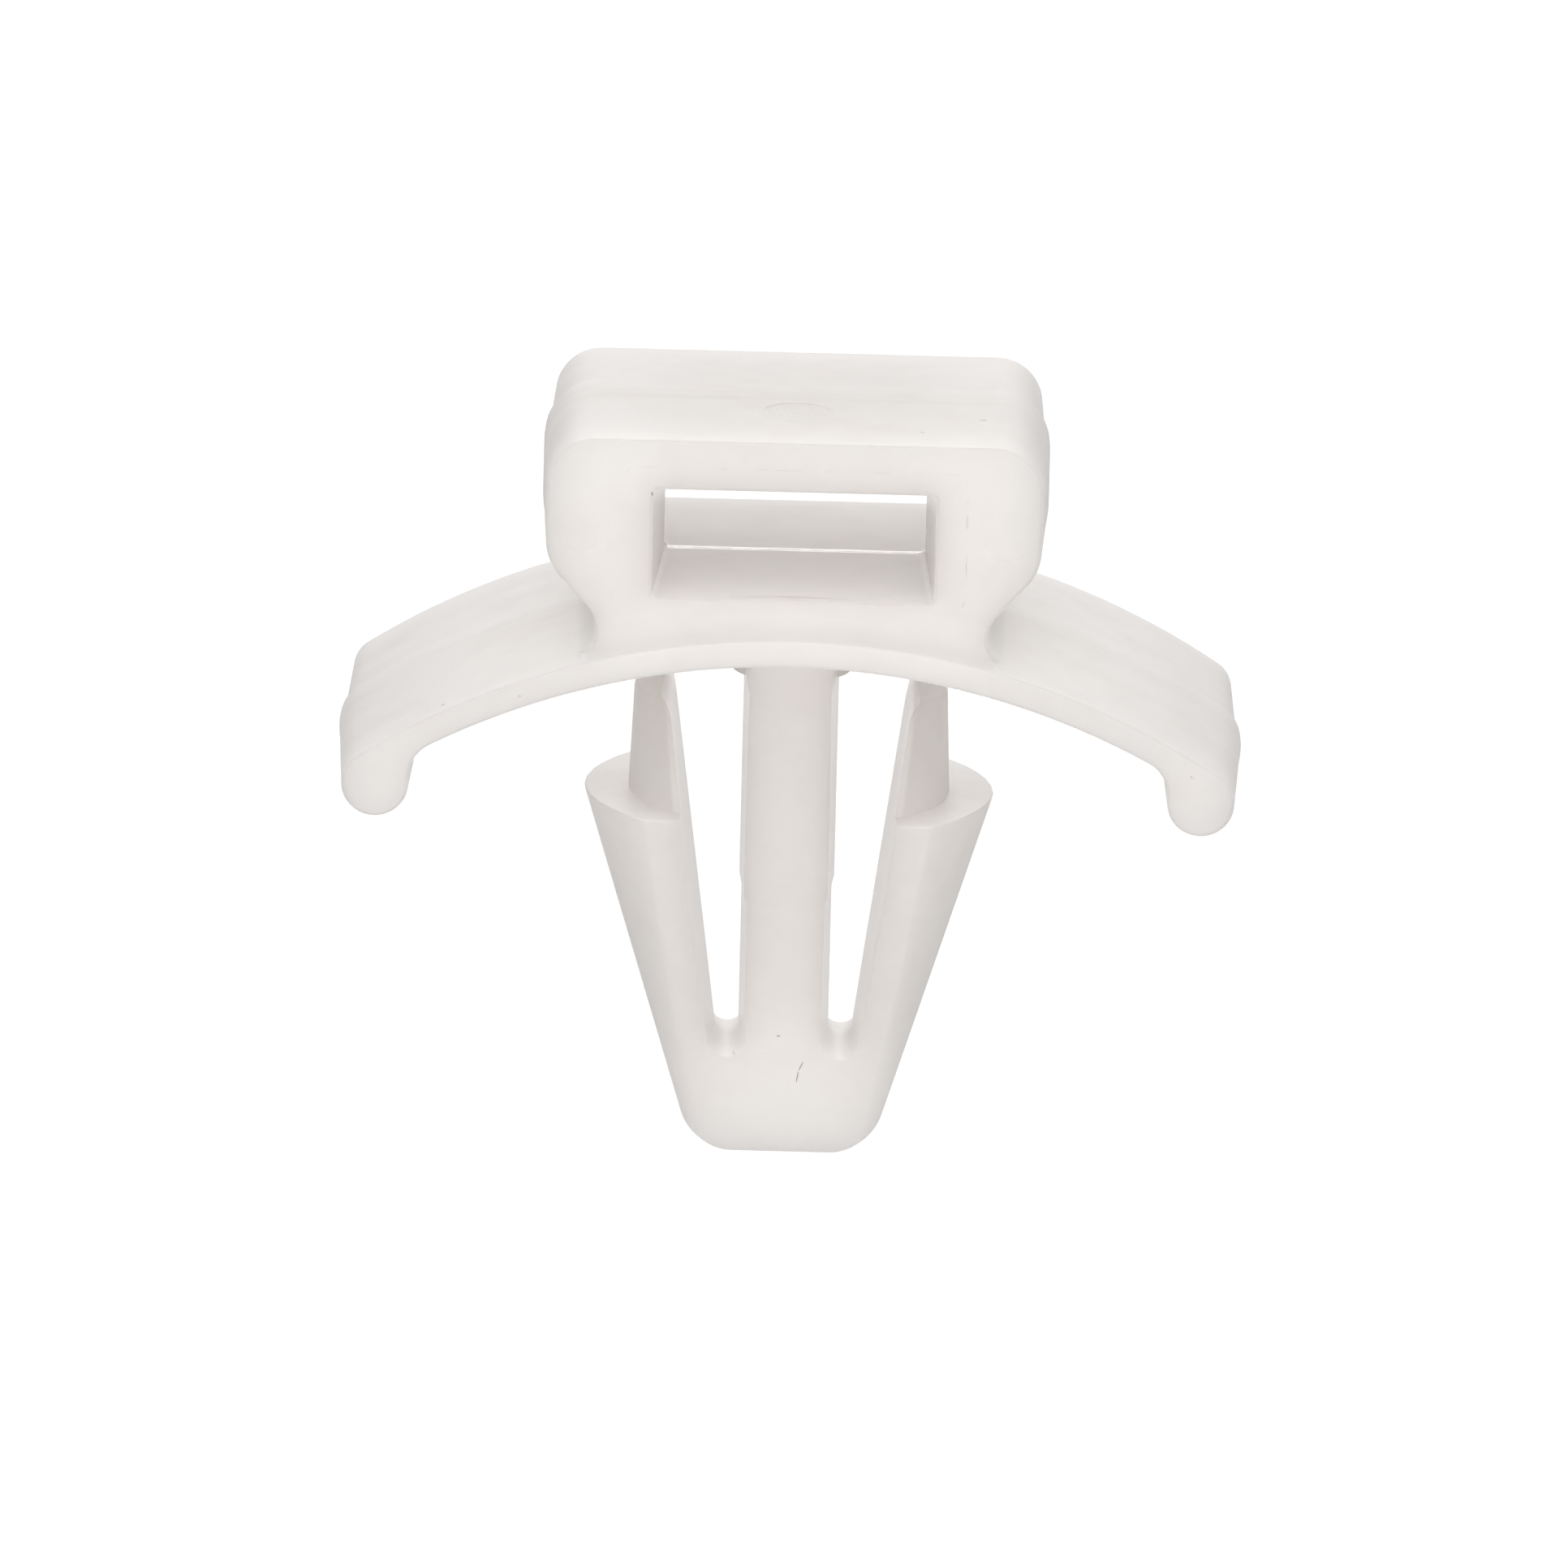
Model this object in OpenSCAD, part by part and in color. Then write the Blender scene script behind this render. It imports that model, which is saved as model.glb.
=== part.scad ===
// Push-in cable tie mount, moulded in one piece from natural nylon.
// A tie threads through the slot of the head from front to back. The arrowhead snaps through a
// round hole in a panel, its shoulders catch the back of the panel and the feet of the two
// arched wings press on the front of it.
// X runs across the wings, Y along the slot and Z up. The origin lies on the axis of the stem,
// in the plane of the barb shoulders. The two mould halves meet in the plane Y = 0, where every
// outline is largest, and each face tapers from there to the front and to the back.

/* [Tie head] */
// Width of the head across the parting line
head_w = 9.28; // [8.8:0.02:11]
// Height of the head over the crown of the wings
head_h = 3.52; // [3.3:0.02:5]
// Depth of the head from its front face to its back face
head_depth = 7.2; // [6.4:0.1:8.2]
// Radius of the two top corners of the head
head_corner_r = 1; // [0.5:0.05:1.3]
// Radius of the two lower corners of the head
cheek_r = 1.15; // [0.8:0.05:1.4]
// Height of the centres of the lower corners over the crown of the wings
cheek_h = 1.5; // [1.4:0.05:2]
// Width of the neck at its narrowest
neck_w = 7.4; // [6.8:0.05:7.6]
// Radius of the hollow between the neck and the wing
neck_r = 0.45; // [0.3:0.05:0.6]

/* [Tie slot] */
// Width of the slot at the parting line
slot_w = 4.8; // [3.6:0.1:5.6]
// Height of the slot at the parting line
slot_h = 1.86; // [1.2:0.02:2]
// Height of the slot's floor over the crown of the wings
slot_floor_h = 0.48; // [0.3:0.02:0.7]
// Taper of the slot's sides and roof towards its mouths, in degrees
slot_draft = 3; // [1:0.25:5]
// Fall of the slot's floor from the parting line to its front mouth, in degrees
floor_fall = 0.8; // [0.25:0.05:3]
// Fall of the slot's floor from the parting line to its back mouth, in degrees
floor_back_fall = 0; // [0:0.05:3]
// Radius of the slot's corners
slot_corner_r = 0.12; // [0.05:0.01:0.3]
// Rounding of the slot's mouth
slot_mouth_r = 0.06; // [0.05:0.01:0.3]

/* [Wings] */
// Distance between the centres of the two feet
foot_span = 15.08; // [13:0.02:17]
// Radius of a foot at the parting line
foot_r = 0.75; // [0.6:0.01:0.95]
// Radius of the hollow between a foot and the underside of its wing
foot_hollow_r = 0.22; // [0.16:0.02:0.6]
// Radius of the arched top surface
wing_top_r = 14.5; // [13.8:0.05:16]
// Radius of the arched underside
wing_under_r = 13.86; // [13.2:0.02:14.6]
// Thickness of the wings at their crown, at the parting line
crown_t = 0.77; // [0.65:0.01:1]
// Depth of the wings from front to back
wing_depth = 8.6; // [8.4:0.1:11]
// Height of the wings' underside over the barb shoulders, at the crown
reach = 3.21; // [2.9:0.01:4.5]

/* [Arrowhead] */
// Diameter over the barb shoulders
shoulder_d = 7.54; // [7:0.02:9]
// Length from the shoulders to the end of the tip
arrow_l = 6.75; // [6:0.05:9]
// Width that the cone runs down to at the end of the tip
tip_w = 3.36; // [2.8:0.02:4]
// Thickness across the flats at the shoulders
flat_t = 5.4; // [4.8:0.05:6.4]
// Thickness across the flats at the end of the tip
tip_t = 1.6; // [1.2:0.05:2.2]
// Radius of the two corners at the end of the tip
tip_corner_r = 0.8; // [0.3:0.05:1]
// Length of the solid tip under the two gaps
tip_solid = 2.07; // [1.5:0.01:2.6]
// Width of each gap at its floor
gap_w = 0.42; // [0.3:0.01:0.6]
// Lean of the inner face of each barb, in degrees
barb_lean = 7.7; // [5:0.1:9]
// Taper of the gaps' sides towards the front and the back, in degrees
gap_draft = 3.6; // [1:0.1:5]

/* [Tongues] */
// Diameter over the two tongues where they rise from the shoulders
tongue_d = 5.9; // [5.6:0.02:6.6]
// Diameter over the two tongues at their top
tongue_top_d = 5.76; // [5.4:0.02:6.4]
// Height of the outer top edge of a tongue over the shoulders
tongue_h = 1.97; // [1.2:0.01:2.1]
// Slope of the top of a tongue, in degrees
tongue_slope = 14; // [0:1:20]

/* [Stem] */
// Width of the stem beside the gaps' lower half
stem_w = 1.67; // [1.3:0.01:1.9]
// Extra width of each side of the stem above its step
stem_step = 0.045; // [0.02:0.005:0.1]
// Depth of the step under the barb shoulders
step_down = 1.62; // [0.5:0.02:3]
// Thickness of the stem from front to back under the wings
stem_top_t = 5.4; // [4:0.05:5.8]
// Diameter of the collar that joins the stem to the wings
collar_d = 2.24; // [2.1:0.02:3.4]
// Height of the collar
collar_h = 0.94; // [0.3:0.02:1]

/* [Mould] */
// Taper of the outer faces towards the front, in degrees
front_draft = 1.7; // [0.5:0.1:2.4]
// Taper of the outer faces towards the back, in degrees
back_draft = 1.3; // [0.5:0.1:2.4]
// Width of the raised band that runs round the head and the wings along the parting line
band_w = 0.9; // [0.4:0.05:1.6]
// Step from the band down to the front half
front_step = 0.03; // [0.01:0.01:0.1]
// Step from the band down to the back half
back_step = 0.07; // [0.01:0.01:0.1]
// Length of the slope at each step
step_run = 0.15; // [0.05:0.01:0.3]
// Rounding along the front and back edges of the head and the wings
edge_r = 0.1; // [0.04:0.01:0.14]
// Diameter of the gate mark on top of the head
gate_d = 1.3; // [0.8:0.05:2]
// Distance from the parting line to the edge of the gate mark
gate_edge = 0.07; // [0.04:0.01:0.6]
// Depth of the gate mark
gate_sink = 0.07; // [0.02:0.01:0.15]
// Diameter of the two ejector marks on the front of the head
ejector_d = 0.92; // [0.6:0.02:1]
// Distance between the centres of the two ejector marks
ejector_span = 7.78; // [6.9:0.02:7.8]
// Height of the ejector marks over the crown of the wings
ejector_h = 1.76; // [1.2:0.02:2.4]
// Depth of the ejector marks
ejector_sink = 0.03; // [0.01:0.005:0.06]

/* [Hidden] */
$fn = 64;
// Height of the wings' crown, of the head's top and of the slot's floor and roof
crown_z = reach + crown_t;
head_z = crown_z + head_h;
floor_z = crown_z + slot_floor_h;
roof_z = floor_z + slot_h;
// Centres of the arched surfaces, of a foot and of the hollow beside it
top_c = [0, crown_z - wing_top_r];
under_c = [0, reach - wing_under_r];
foot_x = foot_span / 2;
foot_c = [foot_x, under_c.y + sqrt(wing_under_r ^ 2 - foot_x ^ 2)];
hollow_c = meet(under_c, wing_under_r - foot_hollow_r, foot_c, foot_r + foot_hollow_r);
// Angle of a full turn, in degrees
turn_angle = 360;
// Angle just beside the crown where the outline of the wings starts, in degrees
crown_angle = 89.5;
// Angle at which the outline of a foot turns back, and what it leaves out on each side of it,
// in degrees
foot_angle = -80;
foot_step_angle = 8;
// Centres of the head's corners and of the hollow of the neck, which sinks a little into the
// wing so that the two surfaces cross
neck_sink = 0.01;
corner_c = [head_w / 2 - head_corner_r, head_z - head_corner_r];
cheek_c = [head_w / 2 - cheek_r, crown_z + cheek_h];
neck_x = neck_w / 2 + neck_r;
neck_c = [neck_x, top_c.y + sqrt((wing_top_r + neck_r - neck_sink) ^ 2 - neck_x ^ 2)];
// Direction of the straight run between the head's lower corner and the neck
cheek_a = toward(neck_c - cheek_c) + acos((cheek_r + neck_r) / norm(neck_c - cheek_c));
// Floor of the gaps, and centre line of the rounding there
gap_z = tip_solid - arrow_l;
gap_x = stem_w / 2 + gap_w / 2;
// Level inside the wings where the stem ends
seat_z = reach + crown_t / 2;
// How far a cut runs past the faces that it opens, and a piece runs into its neighbour
clear = 1;
bury = 0.3;

// Point where two circles meet, on the left of the way from the first centre to the second
function meet(a, ra, b, rb) =
    let (v = b - a, d = norm(v), u = v / d, k = (d ^ 2 + ra ^ 2 - rb ^ 2) / (2 * d))
    a + k * u + sqrt(max(0, ra ^ 2 - k ^ 2)) * [-u.y, u.x];
// Angle of a direction
function toward(v) = atan2(v.y, v.x);
// Points along an arc, both ends included
function arc(c, r, a0, a1, n) =
    [for (i = [0 : n]) let (a = a0 + (a1 - a0) * i / n) c + r * [cos(a), sin(a)]];
// A run of points mirrored to the left and taken in reverse
function flip(run) = [for (i = [len(run) - 1 : -1 : 0]) [-run[i].x, run[i].y]];
// Closed outline from its upper run, which starts at the middle, and its lower run, which ends
// there: each point faces one on the other run, at the same place from the ends of the list
function both(upper, lower) = concat(flip(upper), upper, lower, flip(lower));
// The outline set upright in the plane Y = y
function upright(points, y) = [for (p = points) [p.x, y, p.y]];
// Half thickness of the arrowhead and of the stem at a height z
function flat_at(z) = tip_t / 2 + (flat_t - tip_t) / 2 * (z + arrow_l) / arrow_l;
function stem_at(z) =
    flat_at(gap_z) + (stem_top_t / 2 - flat_at(gap_z)) * (z - gap_z) / (reach - gap_z);

// Distances from the parting plane and insets of the rings of one half of a tapered solid, from
// the edge of the raised band over the step to the rounded rim
function half_rings(half_depth, draft, step) =
    let (
        steps = 3,
        edge = band_w / 2,
        rim = [for (i = [0 : steps]) let (a = 90 * i / steps)
            [half_depth - edge_r * (1 - sin(a)), step + edge_r * (1 - cos(a))]],
        run = concat([[edge, 0], [edge + step_run, step]], rim)
    )
    [for (r = run) [r[0], r[0] * tan(draft) + r[1]]];
// The same for both halves, from the front to the back
function rim_rings(half_depth) =
    let (front = half_rings(half_depth, front_draft, front_step))
    concat(
        [for (i = [len(front) - 1 : -1 : 0]) [-front[i][0], front[i][1]]],
        [[0, 0]],
        half_rings(half_depth, back_draft, back_step)
    );

// An outline of [y, z] points extruded along X, and one of [x, z] points along Y
module along_x(length) { rotate([90, 0, 90]) linear_extrude(length, center = true) children(); }
module along_y(length) { rotate([90, 0, 0]) linear_extrude(length, center = true) children(); }

// Solid through rings of equally many points, each clockwise as seen from the front. The two end
// faces are strips of quads between the points that face each other.
module loft(rings) {
    n = len(rings[0]);
    last = len(rings) - 1;
    sides = [for (j = [0 : last - 1]) for (i = [0 : n - 1])
        let (k = (i + 1) % n) [j * n + i, (j + 1) * n + i, (j + 1) * n + k, j * n + k]];
    front = [for (i = [0 : n / 2 - 2]) [i, i + 1, n - 2 - i, n - 1 - i]];
    back = [for (f = front) [for (i = [3 : -1 : 0]) last * n + f[i]]];
    polyhedron(points = [for (r = rings) each r], faces = concat(front, back, sides), convexity = 6);
}

// Outline of the wings drawn in by an inset t: the upper run goes from the crown along the top
// and round the outside of the foot, the lower run back inside the foot and along the underside
function wing_outline(t) =
    let (
        tip = meet(foot_c, foot_r - t, top_c, wing_top_r - t),
        inner = toward(hollow_c - foot_c) - turn_angle
    )
    both(
        concat(
            arc(top_c, wing_top_r - t, crown_angle, toward(tip - top_c), 19),
            arc(foot_c, foot_r - t, toward(tip - foot_c), foot_angle + foot_step_angle, 9)
        ),
        concat(
            arc(foot_c, foot_r - t, foot_angle - foot_step_angle, inner, 8),
            arc(hollow_c, foot_hollow_r + t, toward(foot_c - hollow_c), toward(hollow_c - under_c), 4),
            arc(under_c, wing_under_r + t, toward(hollow_c - under_c), crown_angle, 15)
        )
    );

// Outline of the head: the upper run goes from its top round the cheek and the neck into the
// wing, the lower run back inside the wing to the crown
function head_outline(t) =
    let (
        into_wing = toward(top_c - neck_c) + turn_angle,
        upper = concat(
            arc(corner_c, head_corner_r - t, 90, 0, 8),
            arc(cheek_c, cheek_r - t, 0, cheek_a, 6),
            arc(neck_c, neck_r + t, cheek_a + turn_angle / 2, into_wing, 10)
        ),
        n = len(upper),
        middle = wing_under_r + crown_t / 2,
        end_x = upper[n - 1].x,
        end = [end_x, under_c.y + sqrt(middle ^ 2 - end_x ^ 2)]
    )
    both(upper, [for (i = [0 : n - 1]) end + ([0, seat_z] - end) * i / n]);

// Outline of the slot at a depth y
function slot_outline(y) =
    let (
        flare = max(0, abs(y) - (head_depth / 2 - slot_mouth_r)),
        wide = slot_w / 2 + abs(y) * tan(slot_draft) + flare - slot_corner_r,
        roof = roof_z + abs(y) * tan(slot_draft) + flare - slot_corner_r,
        fall = abs(y) * tan(y < 0 ? floor_fall : floor_back_fall),
        floor = floor_z - fall - flare + slot_corner_r
    )
    both(arc([wide, roof], slot_corner_r, 90, 0, 3), arc([wide, floor], slot_corner_r, 0, -90, 3));

// Outline of the right gap at an inset t. Its outer side is the inner face of the barb and of the
// tongue, its inner side is the side of the stem with its step.
function gap_outline(t) =
    let (
        r = gap_w / 2,
        round_c = [gap_x, gap_z + r],
        top = crown_z,
        step_z = -step_down,
        side = stem_w / 2 - t,
        foot = round_c + (r + t) * [cos(barb_lean), -sin(barb_lean)]
    )
    concat(
        [foot + (top - foot.y) * [tan(barb_lean), 1]],
        arc(round_c, r + t, -barb_lean, -turn_angle / 2, 9),
        [[side, step_z - stem_step], [side + stem_step, step_z], [side + stem_step, top]]
    );

module wings() {
    loft([for (r = rim_rings(wing_depth / 2)) upright(wing_outline(r[1]), r[0])]);
}

module slot() {
    half_depth = head_depth / 2;
    mouth = half_depth - slot_mouth_r;
    ends = half_depth + clear;
    loft([for (y = [-ends, -mouth, 0, mouth, ends]) upright(slot_outline(y), y)]);
}

module head() {
    difference() {
        loft([for (r = rim_rings(head_depth / 2)) upright(head_outline(r[1]), r[0])]);
        slot();
        // gate mark on the top, just in front of the parting line
        translate([0, -gate_edge - gate_d / 2, head_z - gate_sink]) cylinder(d = gate_d, h = clear);
        // two round ejector marks on the front face
        for (side = [-1, 1])
            translate([side * ejector_span / 2, ejector_sink - head_depth / 2, crown_z + ejector_h])
                rotate([90, 0, 0]) cylinder(d = ejector_d, h = clear);
    }
}

// Cone with flats on its front and back that run together to the tip, and two round corners
module arrow_body() {
    cone_slope = (shoulder_d - tip_w) / 2 / arrow_l;
    lean = atan(cone_slope);
    corner = [tip_w / 2 - tip_corner_r * (1 - sin(lean)) / cos(lean), tip_corner_r - arrow_l];
    side = concat([[shoulder_d, clear]], arc(corner, tip_corner_r, -lean, -90, 8));
    low = -arrow_l - clear;
    intersection() {
        translate([0, 0, low])
            cylinder(r1 = tip_w / 2 - clear * cone_slope, r2 = shoulder_d / 2, h = -low);
        along_x(shoulder_d) polygon([
            [-flat_at(clear), clear], [-flat_at(low), low], [flat_at(low), low], [flat_at(clear), clear]
        ]);
        along_y(shoulder_d) polygon(concat(flip(side), side));
    }
}

// Two tongues that rise from the barb shoulders and centre the mount in the panel's hole: each is
// what the gap leaves of a round boss
module tongues() {
    r = tongue_d / 2;
    top_r = tongue_top_d / 2;
    rise = tan(tongue_slope);
    up = tongue_h + top_r * rise;
    for (side = [0, 1]) mirror([side, 0, 0]) intersection() {
        translate([0, 0, -bury]) cylinder(
            r1 = r + (r - top_r) * bury / tongue_h,
            r2 = r - (r - top_r) * up / tongue_h,
            h = up + bury
        );
        along_y(tongue_d) polygon([
            [gap_x, -bury], [gap_x, up - gap_x * rise], [r + clear, up - (r + clear) * rise], [r + clear, -bury]
        ]);
    }
}

// Stem before the gaps give it its sides: it thickens from the tip up to the wings
module stem_blank() {
    low = gap_z - bury;
    along_x(2 * gap_x) polygon([
        [-stem_at(seat_z), seat_z], [-flat_at(gap_z), gap_z], [-flat_at(low) + neck_sink, low],
        [flat_at(low) - neck_sink, low], [flat_at(gap_z), gap_z], [stem_at(seat_z), seat_z]
    ]);
}

// Arrowhead with its two barbs, the tongues and the stem between them
module arrowhead() {
    half_depth = flat_t / 2 + clear;
    block_w = gap_w / 2 + stem_w;
    difference() {
        union() {
            difference() {
                arrow_body();
                translate([-block_w / 2, -half_depth, gap_z]) cube([block_w, 2 * half_depth, reach - gap_z]);
            }
            stem_blank();
            tongues();
        }
        for (side = [0, 1]) mirror([side, 0, 0])
            loft([for (y = [-half_depth, 0, half_depth])
                upright(gap_outline(abs(y) * tan(gap_draft)), y)]);
    }
}

// Round collar at the root of the stem
module collar() {
    translate([0, 0, reach - collar_h]) cylinder(d = collar_d, h = collar_h + crown_t / 3);
}

module tie_mount() {
    color("#e4e0da") union() {
        wings();
        head();
        arrowhead();
        collar();
    }
}

tie_mount();
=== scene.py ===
"""Push-in cable tie mount, moulded in one piece from natural nylon, on a plain pale ground.

Lengths are millimetres in the part's own frame, whose origin lies on the axis of the stem in the
plane of the barb shoulders, and turn to metres when a mesh is made. The two mould halves meet in
the plane Y = 0.
"""

import logging
import math
from dataclasses import dataclass, field
from enum import Enum

import bmesh
import bpy
import numpy as np
from mathutils import Matrix, Vector

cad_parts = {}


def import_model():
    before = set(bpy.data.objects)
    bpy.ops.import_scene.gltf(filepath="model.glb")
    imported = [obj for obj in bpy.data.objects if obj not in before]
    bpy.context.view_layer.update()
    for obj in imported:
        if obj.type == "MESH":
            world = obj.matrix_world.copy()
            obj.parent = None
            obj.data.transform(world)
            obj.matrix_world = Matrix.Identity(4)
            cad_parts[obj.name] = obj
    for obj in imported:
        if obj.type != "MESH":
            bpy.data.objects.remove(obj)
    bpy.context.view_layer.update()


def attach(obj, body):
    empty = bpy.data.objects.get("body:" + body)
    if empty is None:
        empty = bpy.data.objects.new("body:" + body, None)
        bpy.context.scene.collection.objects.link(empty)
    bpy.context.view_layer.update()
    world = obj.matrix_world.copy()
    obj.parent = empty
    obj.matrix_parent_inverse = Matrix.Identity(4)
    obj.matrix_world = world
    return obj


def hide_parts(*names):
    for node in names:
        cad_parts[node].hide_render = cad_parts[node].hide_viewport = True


LOG = logging.getLogger("tie_mount")
MM = 0.001
PHOTO_SIDE = 1932
Object = bpy.types.Object
Tree = bpy.types.NodeTree
Socket = bpy.types.NodeSocket
Triple = tuple[float, float, float]

# Arcs over the part's axis end just beside it, in degrees, so that an arc and its mirror image
# share no point.
BESIDE_AXIS = 89.9


class Cut(Enum):
    """How one closed solid is combined with another."""

    JOIN = "UNION"
    REMOVE = "DIFFERENCE"


# Plane geometry


def polar(centre: np.ndarray, radius: float, degrees: np.ndarray) -> np.ndarray:
    """Points at given directions on a circle: the centre plus radius times (cosine, sine).

    Args:
        centre: Centre of the circle.
        radius: Its radius.
        degrees: Directions, one for each point.

    Returns:
        One [x, z] row for each direction.
    """
    angle = np.radians(np.asarray(degrees, float))
    return np.asarray(centre) + radius * np.stack([np.cos(angle), np.sin(angle)], axis=-1)


def arc(centre: np.ndarray, radius: float, start: float, end: float, steps: int) -> np.ndarray:
    """Points along an arc at even steps of its angle, both ends included."""
    return polar(centre, radius, np.linspace(start, end, steps + 1))


def direction(vector: np.ndarray) -> float:
    """Angle of a direction, in degrees."""
    return math.degrees(math.atan2(vector[1], vector[0]))


def meet(a: np.ndarray, radius_a: float, b: np.ndarray, radius_b: float) -> np.ndarray:
    """Point where two circles meet, on the left of the way from the first centre to the second.

    The foot of the common chord lies at (d^2 + ra^2 - rb^2) / 2d along the way, and the point
    stands off it by the rest of the first radius, by Pythagoras.
    """
    way = b - a
    d = float(np.hypot(*way))
    along = (d * d + radius_a**2 - radius_b**2) / (2 * d)
    off = math.sqrt(max(0.0, radius_a**2 - along**2))
    unit = way / d
    return a + along * unit + off * np.array([-unit[1], unit[0]])


def flip(run: np.ndarray) -> np.ndarray:
    """A run of points mirrored to the left and taken in reverse."""
    return run[::-1] * np.array([-1.0, 1.0])


def closed(upper: np.ndarray, lower: np.ndarray) -> np.ndarray:
    """Clockwise outline from its right upper run and its right lower run, mirrored to the left."""
    return np.concatenate([flip(upper), upper, lower, flip(lower)])


# Meshes


def put(name: str, data: bpy.types.ID) -> Object:
    """New object with its data, linked to the scene."""
    piece = bpy.data.objects.new(name, data)
    bpy.context.scene.collection.objects.link(piece)
    return piece


def shell(name: str, rings: np.ndarray) -> Object:
    """Closed solid whose surface runs through rings of equally many points.

    Point (j, i) of the grid joins (j, i + 1), (j + 1, i + 1) and (j + 1, i), where i runs round
    the ring. The first and the last ring are closed by one face each. If the signed volume comes
    out negative, the faces point inwards and are turned.

    Args:
        name: Name of the object.
        rings: Array of rings, points and [x, y, z], in millimetres.

    Returns:
        The new object, at the origin.
    """
    count, around = rings.shape[:2]
    index = np.arange(count * around).reshape(count, around)
    nxt = np.roll(index, -1, axis=1)
    quads = np.stack([index[:-1], index[1:], nxt[1:], nxt[:-1]], axis=-1).reshape(-1, 4)
    faces = quads.tolist() + [index[0].tolist(), index[-1][::-1].tolist()]
    mesh = bpy.data.meshes.new(name)
    mesh.from_pydata((rings.reshape(-1, 3) * MM).tolist(), [], faces)
    form = bmesh.new()
    form.from_mesh(mesh)
    if form.calc_volume(signed=True) < 0:
        bmesh.ops.reverse_faces(form, faces=form.faces)
    form.to_mesh(mesh)
    form.free()
    return put(name, mesh)


def upright(outlines: list[np.ndarray], depths: np.ndarray) -> np.ndarray:
    """Rings from [x, z] outlines, each set upright at its own depth."""
    points = np.stack(outlines)
    y = np.broadcast_to(np.asarray(depths, float)[:, None], points.shape[:2])
    return np.stack([points[..., 0], y, points[..., 1]], axis=-1)


def combine(target: Object, tool: Object, how: Cut) -> None:
    """Joins a closed solid to another or cuts it away, and deletes the tool."""
    step = target.modifiers.new("combine", "BOOLEAN")
    step.operation = how.value
    step.solver = "EXACT"
    step.object = tool
    graph = bpy.context.evaluated_depsgraph_get()
    mesh = bpy.data.meshes.new_from_object(target.evaluated_get(graph), depsgraph=graph)
    target.modifiers.clear()
    old = target.data
    target.data = mesh
    bpy.data.meshes.remove(old)
    tool_mesh = tool.data
    bpy.data.objects.remove(tool)
    bpy.data.meshes.remove(tool_mesh)


# Shared sizes of the moulding


@dataclass(frozen=True)
class Mould:
    """Taper, parting band and rounding that every lofted form of the part shares."""

    front_draft: float = 1.7
    back_draft: float = 1.3
    band_w: float = 0.9
    front_step: float = 0.01
    back_step: float = 0.07
    step_run: float = 0.25
    edge_r: float = 0.06
    rim_steps: int = 6
    slope_steps: int = 4
    face_steps: int = 5

    def half(self, half_depth: float, draft: float, step: float) -> np.ndarray:
        """[depth, inset] rows of one half, from the parting plane to the rounded rim.

        The inset is the depth times the tangent of the draft, plus a smooth step beside the band
        (3t^2 - 2t^3), plus the quarter circle of the rim.
        """
        edge = self.band_w / 2
        t = np.linspace(0, 1, self.slope_steps + 1)
        slope = np.stack([edge + self.step_run * t, step * (3 * t**2 - 2 * t**3)], axis=-1)
        turn = np.linspace(0, np.pi / 2, self.rim_steps + 1)
        rim = np.stack(
            [half_depth - self.edge_r * (1 - np.sin(turn)), step + self.edge_r * (1 - np.cos(turn))],
            axis=-1,
        )
        face = np.linspace(slope[-1], rim[0], self.face_steps + 1)[1:-1]
        run = np.concatenate([slope, face, rim])
        run[:, 1] += run[:, 0] * math.tan(math.radians(draft))
        return run

    def rings(self, half_depth: float) -> np.ndarray:
        """[y, inset] rows of a whole form, from its front to its back."""
        front = self.half(half_depth, self.front_draft, self.front_step)[::-1] * [-1, 1]
        back = self.half(half_depth, self.back_draft, self.back_step)
        return np.concatenate([front, [[0.0, 0.0]], back])


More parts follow.
